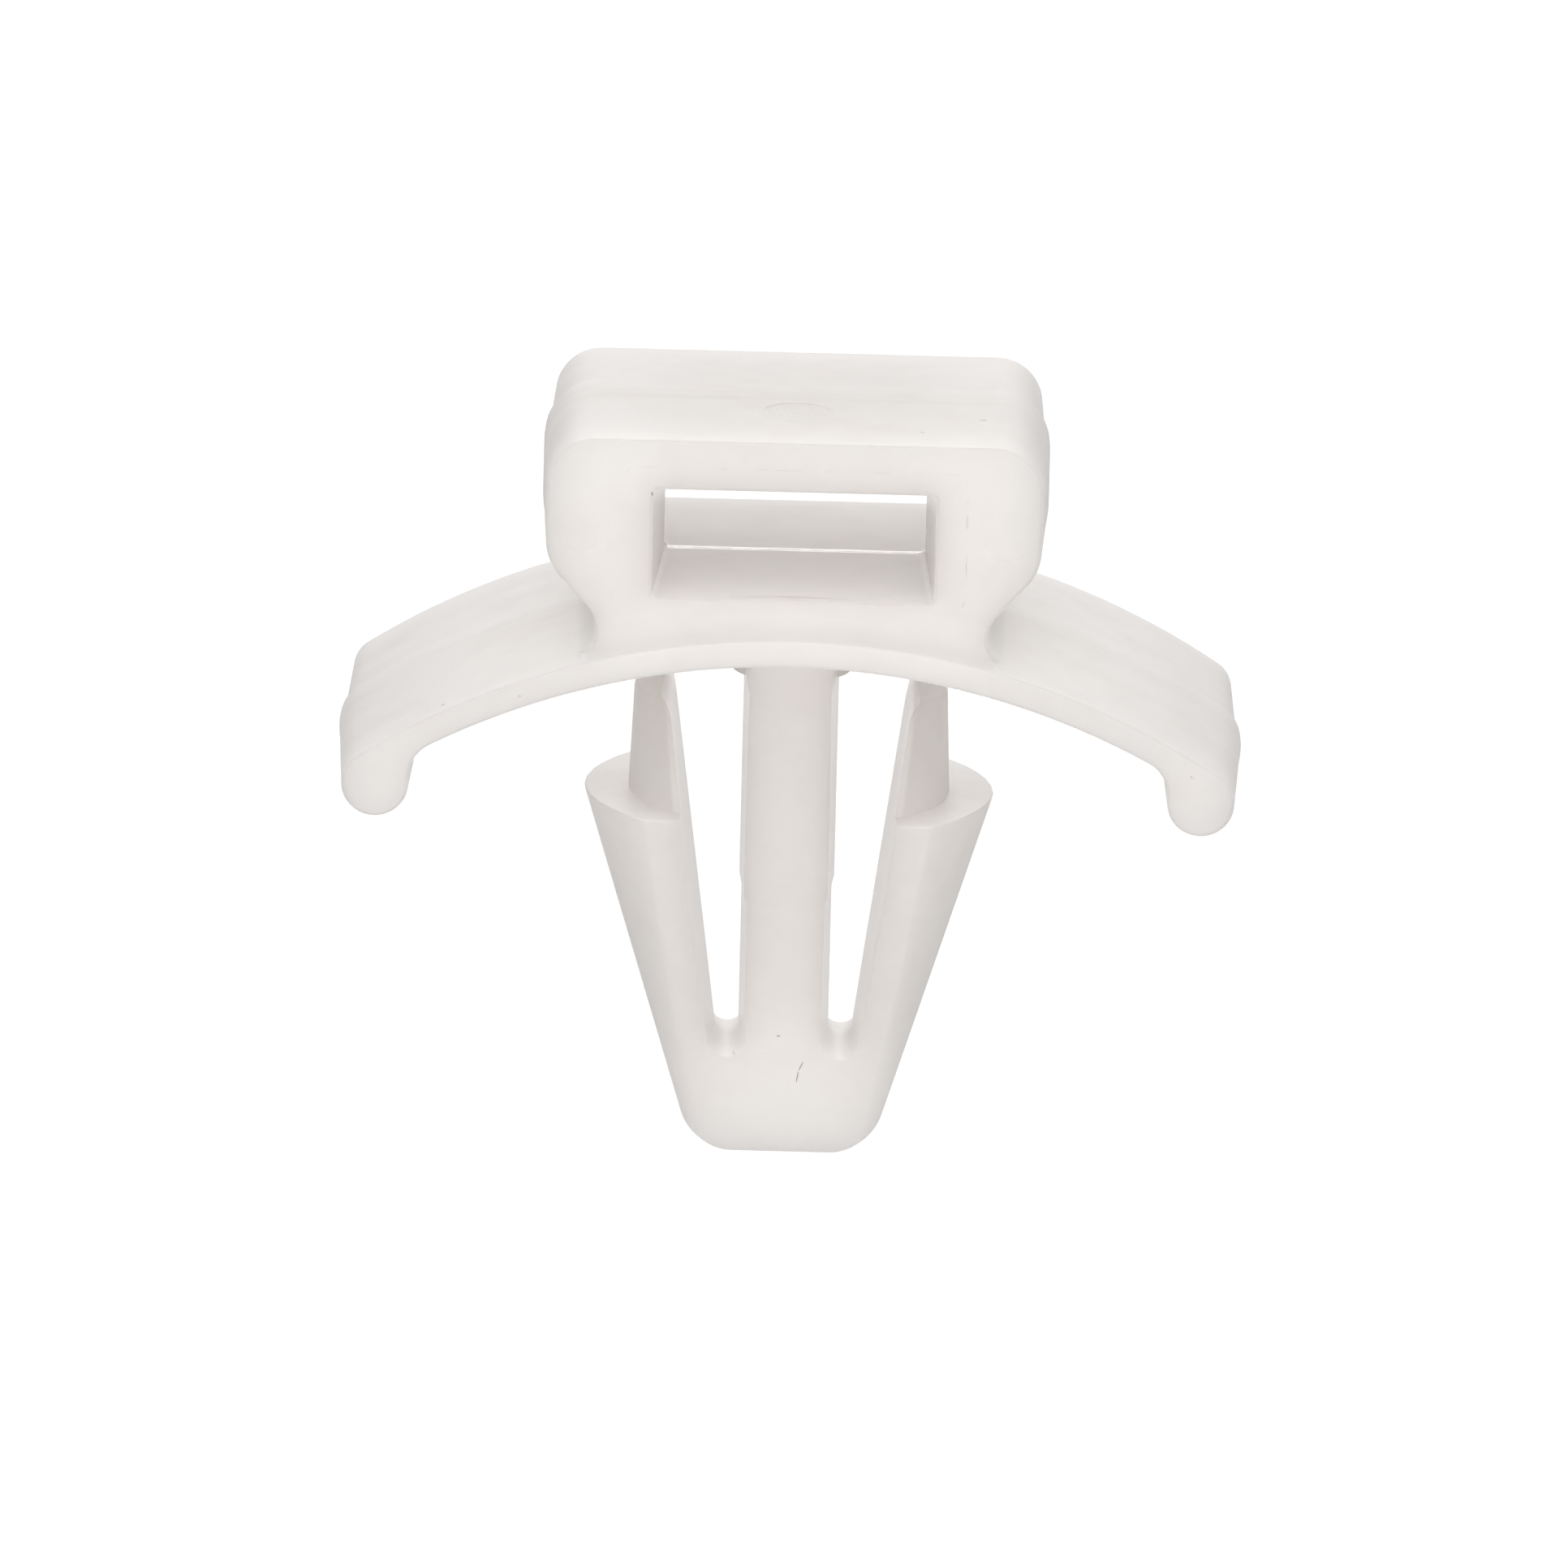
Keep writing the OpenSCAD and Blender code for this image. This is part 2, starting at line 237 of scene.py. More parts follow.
@dataclass
class Wings:
    """Two arched spring wings with a round foot at the end of each."""

    mould: Mould
    foot_span: float = 15.08
    foot_r: float = 0.75
    foot_hollow_r: float = 0.55
    foot_split: float = -80.0
    foot_gap: float = 6.0
    top_r: float = 14.5
    under_r: float = 13.86
    crown_t: float = 0.77
    depth: float = 8.6
    reach: float = 3.21

    @property
    def crown_z(self) -> float:
        """Height of the crown over the shoulders."""
        return self.reach + self.crown_t

    @property
    def top_c(self) -> np.ndarray:
        """Centre of the arched top."""
        return np.array([0.0, self.crown_z - self.top_r])

    @property
    def under_c(self) -> np.ndarray:
        """Centre of the arched underside."""
        return np.array([0.0, self.reach - self.under_r])

    @property
    def foot_c(self) -> np.ndarray:
        """Centre of the right foot, on the line of the underside."""
        x = self.foot_span / 2
        return np.array([x, self.under_c[1] + math.sqrt(self.under_r**2 - x * x)])

    def outline(self, inset: float) -> np.ndarray:
        """Clockwise outline of the wings drawn in by an inset.

        The top arc runs to the foot's circle, the foot's circle to the small hollow beside it,
        and the hollow to the arc of the underside, each circle with its radius changed by the
        inset. The upper run ends at the foot's split and the lower one starts a gap past it.
        """
        hollow_c = meet(
            self.under_c,
            self.under_r - self.foot_hollow_r,
            self.foot_c,
            self.foot_r + self.foot_hollow_r,
        )
        tip = meet(self.foot_c, self.foot_r - inset, self.top_c, self.top_r - inset)
        inner = direction(hollow_c - self.foot_c) - 360
        upper = np.concatenate([
            arc(self.top_c, self.top_r - inset, BESIDE_AXIS, direction(tip - self.top_c), 48)[:-1],
            arc(self.foot_c, self.foot_r - inset, direction(tip - self.foot_c), self.foot_split, 24),
        ])
        lower = np.concatenate([
            arc(self.foot_c, self.foot_r - inset, self.foot_split - self.foot_gap, inner, 20),
            arc(
                hollow_c,
                self.foot_hollow_r + inset,
                direction(self.foot_c - hollow_c),
                direction(hollow_c - self.under_c),
                10,
            )[1:-1],
            arc(self.under_c, self.under_r + inset, direction(hollow_c - self.under_c), BESIDE_AXIS, 42),
        ])
        return closed(upper, lower)

    def build(self) -> Object:
        """Closed shell of both wings, lofted from front to back."""
        rings = self.mould.rings(self.depth / 2)
        outlines = [self.outline(inset) for inset in rings[:, 1]]
        return shell("wings", upright(outlines, rings[:, 0]))


@dataclass
class Head:
    """Head that the tie threads through, with its slot, gate mark and ejector marks."""

    mould: Mould
    wings: Wings
    w: float = 9.28
    h: float = 3.52
    depth: float = 7.2
    corner_r: float = 1.0
    cheek_r: float = 1.15
    cheek_h: float = 1.5
    neck_w: float = 7.4
    neck_r: float = 0.45
    neck_sink: float = 0.01
    root_r: float = 0.6
    root_bury: float = 0.2
    slot_w: float = 4.8
    slot_h: float = 1.86
    slot_floor_h: float = 0.48
    slot_draft: float = 3.0
    roof_draft: float = 2.3
    floor_fall: float = 0.8
    back_rise: float = 2.3
    crest_drop: float = 0.065
    crest_run: float = 0.4
    slot_corner_r: float = 0.12
    slot_mouth_r: float = 0.06
    gate_d: float = 1.3
    gate_edge: float = 0.82
    gate_sink: float = 0.008
    ejector_d: float = 0.92
    ejector_span: float = 7.78
    ejector_h: float = 1.76
    ejector_sink: float = 0.03

    @property
    def top_z(self) -> float:
        """Height of the top."""
        return self.wings.crown_z + self.h

    @property
    def floor_z(self) -> float:
        """Height of the slot's floor at its crest."""
        return self.wings.crown_z + self.slot_floor_h

    @property
    def roof_z(self) -> float:
        """Height of the slot's roof at the parting line."""
        return self.floor_z + self.slot_h

    @property
    def gate_y(self) -> float:
        """Depth of the centre of the gate mark."""
        return -self.gate_edge - self.gate_d / 2

    @property
    def neck_c(self) -> np.ndarray:
        """Centre of the hollow at the right side of the neck, which touches the wings' top."""
        x = self.neck_w / 2 + self.neck_r
        reach = self.wings.top_r + self.neck_r - self.neck_sink
        return np.array([x, self.wings.top_c[1] + math.sqrt(reach**2 - x * x)])

    def root_outline(self, height: float, base_r: float, inset: float) -> np.ndarray:
        """Outline of the root at one depth, between the hollows of the neck.

        Args:
            height: Height of its top over the wings' arc.
            base_r: Radius of that arc at this depth.
            inset: Inset of the head's face, which widens the hollows.

        Returns:
            The clockwise outline.
        """
        top_c, neck_c, r = self.wings.top_c, self.neck_c, self.neck_r + inset
        over, under = (meet(top_c, base_r + h, neck_c, r) for h in (height, -self.neck_sink))
        return closed(
            np.concatenate([
                arc(top_c, base_r + height, BESIDE_AXIS, direction(over - top_c), 40)[:-1],
                arc(neck_c, r, direction(over - neck_c) % 360, direction(under - neck_c) % 360, 8),
            ]),
            arc(top_c, base_r - self.wings.crown_t / 2, direction(under - top_c), BESIDE_AXIS, 40),
        )

    def root(self, back: bool) -> Object:
        """Closed hollow fillet where the front or back face of the head runs out on the wings.

        A way r (1 - cosine) past the face, its top lies r (1 - sine) over the drafted arc of the
        wings.

        Args:
            back: Whether it is the root of the back face.

        Returns:
            The closed shell.
        """
        mould, r = self.mould, self.root_r
        draft, step = (mould.back_draft, mould.back_step) if back else (mould.front_draft, mould.front_step)
        slope = math.tan(math.radians(draft))
        inset = self.depth / 2 * slope + step + mould.edge_r + self.neck_sink
        turn = np.linspace(0, np.pi / 2, 13)
        rows = np.stack([self.depth / 2 + r * (1 - np.cos(turn)), r * (1 - np.sin(turn))], axis=-1)
        rows[-1, 1] = -self.neck_sink / 2
        rows = np.concatenate([[[self.depth / 2 - self.root_bury, r]], rows])
        outlines = [self.root_outline(h, self.wings.top_r - y * slope - step, inset) for y, h in rows]
        return shell("root", upright(outlines, rows[:, 0] * (1 if back else -1)))

    def outline(self, inset: float) -> np.ndarray:
        """Clockwise outline of the head drawn in by an inset.

        The top corner, the cheek and the hollow of the neck are arcs. The straight run between
        cheek and neck leaves both at one angle, the direction between their centres plus the
        arc cosine of their summed radii over their distance.
        """
        top_c, crown, neck_c = self.wings.top_c, self.wings.crown_z, self.neck_c
        corner_c = np.array([self.w / 2 - self.corner_r, self.top_z - self.corner_r])
        cheek_c = np.array([self.w / 2 - self.cheek_r, crown + self.cheek_h])
        way = neck_c - cheek_c
        turn = direction(way) + math.degrees(
            math.acos((self.cheek_r + self.neck_r) / float(np.hypot(*way)))
        )
        upper = np.concatenate([
            arc(corner_c, self.corner_r - inset, 90, 0, 18),
            arc(cheek_c, self.cheek_r - inset, 0, turn, 14),
            arc(neck_c, self.neck_r + inset, 180 + turn, direction(top_c - neck_c) + 360, 22),
        ])
        middle = self.wings.under_r + self.wings.crown_t / 2
        end_x = upper[-1][0]
        end = np.array([end_x, self.wings.under_c[1] + math.sqrt(middle**2 - end_x**2)])
        seat = np.array([0.05, self.wings.reach + self.wings.crown_t / 2])
        return closed(upper, np.linspace(end, seat, 12))

    def slot_outline(self, y: float, flare: float) -> np.ndarray:
        """Rounded rectangle of the slot at a depth, widened by the flare of its mouth.

        Its floor falls towards the front. Behind the parting line, where the two cores of the
        mould meet, it drops by d (1 - cos(pi y / run)) / 2 and then rises towards the back.
        """
        roof, side, front, back = (
            abs(y) * math.tan(math.radians(a))
            for a in (self.roof_draft, self.slot_draft, self.floor_fall, self.back_rise)
        )
        drop = self.crest_drop * (1 - math.cos(math.pi * min(1.0, abs(y) / self.crest_run))) / 2
        fall = flare + (front if y < 0 else drop - back)
        r = self.slot_corner_r
        x = self.slot_w / 2 + side + flare - r
        return closed(
            arc(np.array([x, self.roof_z + roof + flare - r]), r, 90, 0, 6),
            arc(np.array([x, self.floor_z - fall + r]), r, 0, -90, 6),
        )

    def slot_tool(self) -> Object:
        """Closed tool of the slot: its mouths flare in a quarter circle into the faces."""
        half, r = self.depth / 2, self.slot_mouth_r
        turn = np.linspace(0, np.pi / 2, 7)
        mouth = np.stack([half - r * (1 - np.sin(turn)), r * (1 - np.cos(turn))], axis=-1)
        run = np.concatenate([
            np.linspace(0, self.crest_run, 11)[1:],
            np.linspace(self.crest_run, mouth[0, 0], 9)[1:-1],
        ])
        inside = np.stack([run, np.zeros(len(run))], axis=-1)
        back = np.concatenate([inside, mouth, [[half + 1.0, mouth[-1, 1]]]])
        rows = np.concatenate([back[::-1] * [-1, 1], [[0.0, 0.0]], back])
        outlines = [self.slot_outline(y, flare) for y, flare in rows]
        return shell("slot_tool", upright(outlines, rows[:, 0]))

    def disc_tool(self, name: str, centre: np.ndarray, axis: np.ndarray, d: float) -> Object:
        """Round closed tool that starts at a centre and runs 1 mm outwards along an axis."""
        side = np.cross(axis, [1.0, 0.0, 0.0])
        other = np.cross(axis, side)
        angle = np.linspace(0, 2 * np.pi, 49)[:-1]
        circle = d / 2 * (np.outer(np.cos(angle), side) + np.outer(np.sin(angle), other))
        rings = np.stack([circle + centre, circle + centre + axis])
        return shell(name, rings)

    def build(self) -> Object:
        """Closed shell of the head with everything that is cut into it."""
        rings = self.mould.rings(self.depth / 2)
        head = shell("head", upright([self.outline(i) for i in rings[:, 1]], rings[:, 0]))
        combine(head, self.slot_tool(), Cut.REMOVE)
        for back in (False, True):
            combine(head, self.root(back), Cut.JOIN)
        front = np.array([0.0, -1.0, 0.0])
        draft = math.radians(self.mould.front_draft)
        up = np.array([0.0, -math.sin(draft), math.cos(draft)])
        fall = self.mould.front_step - self.gate_y * math.tan(draft)
        gate = np.array([0.0, self.gate_y, self.top_z - fall]) - self.gate_sink * up
        combine(head, self.disc_tool("gate_tool", gate, up, self.gate_d), Cut.REMOVE)
        for side in (-1, 1):
            mark = np.array([
                side * self.ejector_span / 2,
                self.ejector_sink - self.depth / 2,
                self.wings.crown_z + self.ejector_h,
            ])
            combine(head, self.disc_tool("ejector_tool", mark, front, self.ejector_d), Cut.REMOVE)
        return head


@dataclass
class Arrowhead:
    """Barbed arrowhead with its two tongues, and the stem that carries it."""

    wings: Wings
    shoulder_d: float = 7.54
    arrow_l: float = 6.75
    tip_w: float = 3.36
    flat_t: float = 5.4
    tip_t: float = 1.6
    tip_corner_r: float = 0.8
    tip_solid: float = 2.07
    gap_w: float = 0.42
    barb_lean: float = 7.7
    gap_draft: float = 3.6
    tongue_d: float = 5.9
    tongue_top_d: float = 5.76
    tongue_h: float = 1.97
    tongue_slope: float = 14.0
    tongue_t: float = 4.14
    tongue_top_t: float = 3.44
    tongue_edge_r: float = 0.1
    crown_from: float = 1.72
    crown_bend: float = 1.1
    bend_run: float = 0.7
    stem_w: float = 1.67
    stem_step: float = 0.045
    step_down: float = 1.62
    stem_top_t: float = 5.4
    collar_d: float = 2.24
    collar_h: float = 0.94
    collar_edge: float = 0.03
    mouth_r: float = 0.09
    shoulder_r: float = 0.05
    corner_r: float = 0.14
    bury: float = 0.3

    @property
    def gap_z(self) -> float:
        """Height of the floor of the gaps."""
        return self.tip_solid - self.arrow_l

    @property
    def gap_x(self) -> float:
        """Distance of the middle of a gap's floor from the stem's axis."""
        return (self.stem_w + self.gap_w) / 2

    def flat_at(self, z: np.ndarray) -> np.ndarray:
        """Half thickness of the arrowhead at a height: it runs straight from shoulders to tip."""
        return self.tip_t / 2 + (self.flat_t - self.tip_t) / 2 * (z + self.arrow_l) / self.arrow_l

    def cone_at(self, z: np.ndarray) -> np.ndarray:
        """Half width of the cone at a height."""
        return self.tip_w / 2 + (self.shoulder_d - self.tip_w) / 2 * (z + self.arrow_l) / self.arrow_l

    def stem_at(self, z: np.ndarray) -> np.ndarray:
        """Half thickness of the stem at a height over the gaps' floor."""
        low, high = self.flat_at(self.gap_z), self.stem_top_t / 2
        return low + (high - low) * (z - self.gap_z) / (self.wings.reach - self.gap_z)

    @staticmethod
    def section(half_x: float, radius: float, half_y: float, r: float, steps: int) -> np.ndarray:
        """Round-cornered outline of a circle cut off by two flats, as [x, y] points.

        Each corner is an arc of radius r whose centre lies r inside the flat and r inside the
        circle, so it touches both. Past half_x, the run of the circle ends at half_x.

        Args:
            half_x: Half width, where the circle's top point lies.
            radius: Radius of the circle.
            half_y: Half thickness over the flats.
            r: Radius of the corners.
            steps: Steps of each corner; the round side takes twice as many.

        Returns:
            The outline, from the front right corner round to the front left.
        """
        r = min(r, 0.45 * half_y, 0.45 * half_x)
        off = half_x - radius
        cy = half_y - r
        cx = off + math.sqrt(max((radius - r) ** 2 - cy**2, 0.0))
        meet_angle = math.degrees(math.atan2(cy, cx - off))
        corner = arc(np.array([cx, -cy]), r, -90, -meet_angle, steps)
        round_side = arc(np.array([off, 0.0]), radius, -meet_angle, meet_angle, 2 * steps)[1:-1]
        corner_up = arc(np.array([cx, cy]), r, meet_angle, 90, steps)
        right = np.concatenate([corner, round_side, corner_up])
        return np.concatenate([right, (right * [-1, 1])[::-1]])

    def body(self) -> Object:
        """Closed shell of the arrowhead without its gaps.

        Its cross-section at each height is the cone's circle cut off by the two flats. At the
        shoulders the section draws in along a quarter circle. Towards the tip its half width
        follows the round corner: the corner's centre plus the root of r^2 less the height below
        that centre, squared.
        """
        slope = (self.shoulder_d - self.tip_w) / 2 / self.arrow_l
        lean = math.atan(slope)
        r = self.tip_corner_r
        cx = self.tip_w / 2 - r * (1 - math.sin(lean)) / math.cos(lean)
        cz = r - self.arrow_l
        start = cz - r * math.sin(lean)
        rows: list[Triple] = []
        turn = np.linspace(0, np.pi / 2, 7)
        for a in turn[::-1]:
            z = -self.shoulder_r * (1 - math.sin(a))
            rows.append((z, self.shoulder_r * (1 - math.cos(a)), 0.0))
        for z in np.linspace(-self.shoulder_r, start, 40)[1:]:
            rows.append((float(z), 0.0, 0.0))
        low = math.asin(min(1.0, (cz - start) / r))
        for a in np.linspace(low, np.pi / 2 - 0.02, 16)[1:]:
            z = cz - r * math.sin(a)
            rows.append((z, 0.0, float(self.cone_at(z)) - (cx + r * math.cos(a))))
        rim = self.shoulder_r
        rings = []
        for z, inset, cut in rows:
            near = max(0.0, 1 - (z + self.arrow_l) / rim)
            close = rim * (1 - math.sqrt(max(0.0, 1 - near * near)))
            radius = float(self.cone_at(z)) - inset
            half_y = float(self.flat_at(z)) - inset - close
            flat = self.section(radius - cut, radius, half_y, self.corner_r, 6)
            rings.append(np.column_stack([flat, np.full(len(flat), z)]))
        return shell("arrowhead", np.stack(rings))

    def gap_outline(self, inset: float) -> np.ndarray:
        """Outline of the right gap as [x, z] points, narrowed by an inset or widened below zero.

        Its outer side leans with the barb and bends outwards over the top of the tongue, by a
        factor times the height squared. Its floor is round, and its inner side is the side of
        the stem with its step.
        """
        lean = math.radians(self.barb_lean)
        r = self.gap_w / 2 + inset
        floor_c = np.array([self.gap_x, self.gap_z + self.gap_w / 2])
        foot = floor_c + r * np.array([math.cos(lean), -math.sin(lean)])
        top = self.wings.crown_z
        bend, run = self.crown_from, self.bend_run
        z = np.concatenate([[top], np.linspace(bend + run, bend, 12), np.linspace(bend, foot[1], 24)[1:-1]])
        x = foot[0] + (z - foot[1]) * math.tan(lean) + self.crown_bend * np.clip(z - bend, 0, run) ** 2
        outer = np.stack([x, z], axis=-1)
        floor = arc(floor_c, r, -self.barb_lean, -180, 20)
        side = self.stem_w / 2 - inset
        step = -self.step_down
        lower = np.linspace([side, floor_c[1]], [side, step - 2 * self.stem_step], 16)[1:]
        t = np.linspace(0, 1, 5)
        ease = 3 * t**2 - 2 * t**3
        knee = np.stack([side + self.stem_step * ease, step - 2 * self.stem_step * (1 - t)], axis=-1)
        upper = np.linspace(knee[-1], [side + self.stem_step, top], 24)[1:]
        return np.concatenate([outer, floor, lower, knee[1:], upper])

    def gap_tool(self, side: int) -> Object:
        """Closed tool of one gap.

        Each ring lies at a share of the arrowhead's local half thickness, so its mouths follow
        the leaning flats. There the outline widens by r (1 - cosine) while the depth grows by
        r sine, which rounds the edges between the gap and the flats.
        """
        draft = math.tan(math.radians(self.gap_draft))
        r = self.mouth_r
        turn = np.linspace(0, np.pi / 2, 7)
        rows = [(s, 0.0, 0.0) for s in np.linspace(0.05, 1, 7)]
        rows += [(1.0, r * math.sin(a), r * (1 - math.cos(a))) for a in turn[1:]]
        rows += [(1.0, r + 0.6, r)]
        back = []
        for share, out, flare in rows:
            base = self.gap_outline(0.0)
            half = np.minimum(self.flat_at(base[:, 1]), self.flat_t / 2)
            half = np.maximum(half, self.tip_t / 2) - r
            y = half * share + out
            middle = float(np.mean(y))
            line = self.gap_outline(draft * middle + flare)
            back.append(np.stack([side * line[:, 0], y, line[:, 1]], axis=-1))
        front = [ring * np.array([1.0, -1.0, 1.0]) for ring in back[::-1]]
        return shell("gap_tool", np.stack(front + back))

    def stem_blank(self) -> Object:
        """Stem before the gaps give it its sides: it thickens from the tip up to the wings."""
        top = self.wings.reach + self.wings.crown_t / 2
        low = self.gap_z - self.bury
        rings = []
        for z in np.linspace(top, low, 40):
            half = float(self.stem_at(z)) if z > self.gap_z else float(self.flat_at(z)) - 0.01
            x = self.gap_x
            square = np.array([[x, -half], [x, half], [-x, half], [-x, -half]])
            rings.append(np.column_stack([square, np.full(4, z)]))
        return shell("stem_blank", np.stack(rings))

    def tongue(self, side: int) -> Object:
        """One tongue, which is what the gap leaves of a round boss with its sharp edges blunted.

        The top lies at the tongue's height plus the slope's tangent times the way in from the
        outer side. Under its rim the rings follow a quarter circle: the inset is r (1 - cosine)
        and the drop is r (1 - sine).
        """
        rise = math.tan(math.radians(self.tongue_slope))
        r = self.tongue_edge_r
        turn = np.linspace(0, np.pi / 2, 7)
        rows = [(share, 0.0, r) for share in np.linspace(0, 1, 12)[:-1]]
        rows += [(1.0, r * (1 - math.cos(a)), r * (1 - math.sin(a))) for a in turn]
        foot = self.tongue_outline(0.0, 0.0)
        rings = [np.column_stack([foot * [side, 1], np.full(len(foot), -self.bury)])]
        for share, inset, drop in rows:
            flat = self.tongue_outline(share, inset)
            top = self.tongue_h + rise * (self.tongue_top_d / 2 - flat[:, 0])
            rings.append(np.column_stack([flat * [side, 1], share * (top - drop)]))
        return shell("tongue", np.stack(rings))

    def tongue_outline(self, share: float, inset: float) -> np.ndarray:
        """Outline of the right tongue's boss at a share of its height, drawn in by an inset."""
        r = self.tongue_edge_r
        radius = (self.tongue_d + (self.tongue_top_d - self.tongue_d) * share) / 2 - inset
        half = (self.tongue_t + (self.tongue_top_t - self.tongue_t) * share) / 2 - inset
        corner = np.array([math.sqrt((radius - r) ** 2 - (half - r) ** 2), half - r])
        a = direction(corner)
        return np.concatenate([
            arc(corner * [1, -1], r, -90, -a, 5),
            arc(np.zeros(2), radius, -a, a, 16)[1:-1],
            arc(corner, r, a, 90, 5),
            [[self.gap_x, half], [self.gap_x, -half]],
        ])

    def collar(self) -> Object:
        """Round collar at the root of the stem, with a small chamfer round its lower edge."""
        low, top = self.wings.reach - self.collar_h, self.wings.reach + self.wings.crown_t / 3
        r, edge = self.collar_d / 2, self.collar_edge
        profile = np.array([[r, top], [r, low + edge], [r - edge, low]])
        angle = np.linspace(0, 2 * np.pi, 73)[:-1]
        rings = [np.column_stack([q * np.cos(angle), q * np.sin(angle), np.full(72, z)]) for q, z in profile]
        return shell("collar", np.stack(rings))

    def build(self) -> Object:
        """Closed shell of the arrowhead, the tongues and the stem."""
        body = self.body()
        block_w = self.gap_w / 2 + self.stem_w
        top, low = 1.0, self.gap_z
        x, y = block_w / 2, self.flat_t
        square = np.array([[x, -y], [x, y], [-x, y], [-x, -y]])
        block = np.stack([np.column_stack([square, np.full(4, z)]) for z in (top, low)])
        combine(body, shell("block_tool", block), Cut.REMOVE)
        combine(body, self.stem_blank(), Cut.JOIN)
        for side in (-1, 1):
            combine(body, self.tongue(side), Cut.JOIN)
        for side in (-1, 1):
            combine(body, self.gap_tool(side), Cut.REMOVE)
        combine(body, self.collar(), Cut.JOIN)
        return body


# Materials


def linear(hex_colour: str) -> tuple[float, float, float, float]:
    """Linear colour of an sRGB hex value, by the standard transfer curve."""
    value = np.array([int(hex_colour[i:i + 2], 16) for i in (1, 3, 5)]) / 255
    curve = np.where(value <= 0.04045, value / 12.92, ((value + 0.055) / 1.055) ** 2.4)
    return (*[float(v) for v in curve], 1.0)


def blank_tree(owner: bpy.types.ID) -> Tree:
    """Empty node tree of a material or of the world."""
    owner.use_nodes = True
    owner.node_tree.nodes.clear()
    return owner.node_tree


def add_node(tree: Tree, kind: str, settings: dict, inputs: dict) -> bpy.types.Node:
    """Adds one node with its settings, and its inputs as values or as links.

    Args:
        tree: Node tree that gets the node.
        kind: Type of the node.
        settings: Attributes of the node and their values.
        inputs: Sockets by name or number, each with a value or with another node's output.

    Returns:
        The new node.
    """
    node = tree.nodes.new(kind)
    for name, value in settings.items():
        setattr(node, name, value)
    for key, value in inputs.items():
        if isinstance(value, Socket):
            tree.links.new(value, node.inputs[key])
        else:
            node.inputs[key].default_value = value
    return node


def compute(tree: Tree, operation: str, *values: object) -> Socket:
    """Result of one arithmetic node on values or sockets."""
    return add_node(tree, "ShaderNodeMath", {"operation": operation}, dict(enumerate(values))).outputs[0]


def vector(tree: Tree, operation: str, *values: object) -> Socket:
    """Result of one vector node on values or sockets."""
    node = add_node(tree, "ShaderNodeVectorMath", {"operation": operation}, dict(enumerate(values)))
    return node.outputs["Value" if operation == "LENGTH" else "Vector"]


def axes(tree: Tree, value: Socket) -> list[Socket]:
    """X, Y and Z of a vector."""
    return list(add_node(tree, "ShaderNodeSeparateXYZ", {}, {"Vector": value}).outputs)


def mix(tree: Tree, factor: Socket, first: object, second: object) -> Socket:
    """Mix of two colours, from the first to the second."""
    inputs = {"Factor": factor, 6: first, 7: second}
    return add_node(tree, "ShaderNodeMix", {"data_type": "RGBA"}, inputs).outputs[2]


def ramp(tree: Tree, value: Socket, low: float, high: float,
         top: float = 1.0) -> Socket:
    """Smooth step of a value.

    Args:
        tree: Node tree that gets the node.
        value: Socket that gives the value.
        low: Value at which the step is 0.
        high: Value at which the step has its full height.
        top: Full height.

    Returns:
        The step's socket.
    """
    return add_node(
        tree, "ShaderNodeMapRange", {"interpolation_type": "SMOOTHSTEP"},
        {"Value": value, "From Min": low, "From Max": high, "To Min": 0.0, "To Max": top},
    ).outputs["Result"]


def noise(tree: Tree, place: Socket, grain: float,
          detail: float) -> Socket:
    """Noise whose blotches are about as wide as the grain, in millimetres."""
    return add_node(
        tree, "ShaderNodeTexNoise", {}, {"Vector": place, "Scale": 1 / grain, "Detail": detail},
    ).outputs["Fac"]


@dataclass(frozen=True)
class Mark:
    """Small mark: an ellipsoid, turned about the Y axis, tints the surface where it cuts it.

    The tint fades from full to none between two shares of the ellipsoid's radius.
    """

    FULL = 0.7
    NONE = 1.2

    at: Triple
    half: Triple
    lean: float = 0.0
    strength: float = 1.0

    def mask(self, tree: Tree, place: Socket) -> Socket:
        """How strongly the mark tints a place.

        Args:
            tree: Node tree that gets the nodes.
            place: Place in millimetres.

        Returns:
            The strength, 0 outside the mark.
        """
        own = add_node(
            tree, "ShaderNodeMapping", {"vector_type": "TEXTURE"},
            {
                "Vector": place, "Location": self.at, "Scale": self.half,
                "Rotation": (0.0, math.radians(self.lean), 0.0),
            },
        )
        away = vector(tree, "LENGTH", own.outputs["Vector"])
        return ramp(tree, away, self.NONE, self.FULL, self.strength)


# Dark spots tinted into the surface: dirt specks and hair marks, and one painted shade just under the floor
# of the left gap.
SPECKS_AND_PAINTED_SHADE = (
    Mark((0.352, -1.30, -4.97), (0.012, 0.3, 0.10), 24.0, 0.75),
    Mark((0.290, -1.24, -5.19), (0.012, 0.3, 0.12), 8.0, 0.75),
    Mark((-0.075, -1.47, -4.37), (0.035, 0.3, 0.018), 0.0, 0.6),
    # Painted shade: a faint dark dash on the front flat just under the floor of the left gap.
    Mark((-0.888, -1.36, -4.76), (0.03, 0.3, 0.015), 30.0, 0.35),
    Mark((3.40, -1.67, 7.50), (0.07, 0.04, 0.3), 0.0, 0.4),
    Mark((2.29, -2.59, 7.45), (0.05, 0.03, 0.3), 0.0, 0.35),
    Mark((-4.93, -4.30, 2.69), (0.03, 0.3, 0.03), 0.0, 0.4),
    Mark((-6.335, -3.9, 2.62), (0.06, 0.1, 0.3), 0.0, 0.5),
    Mark((-2.60, -3.60, 6.37), (0.018, 0.1, 0.05), -20.0, 0.8),
    Mark((1.76, -3.60, 3.59), (0.05, 0.1, 0.02), 20.0, 0.3),
    Mark((7.36, -4.30, 1.48), (0.04, 0.3, 0.02), 40.0, 0.4),
)


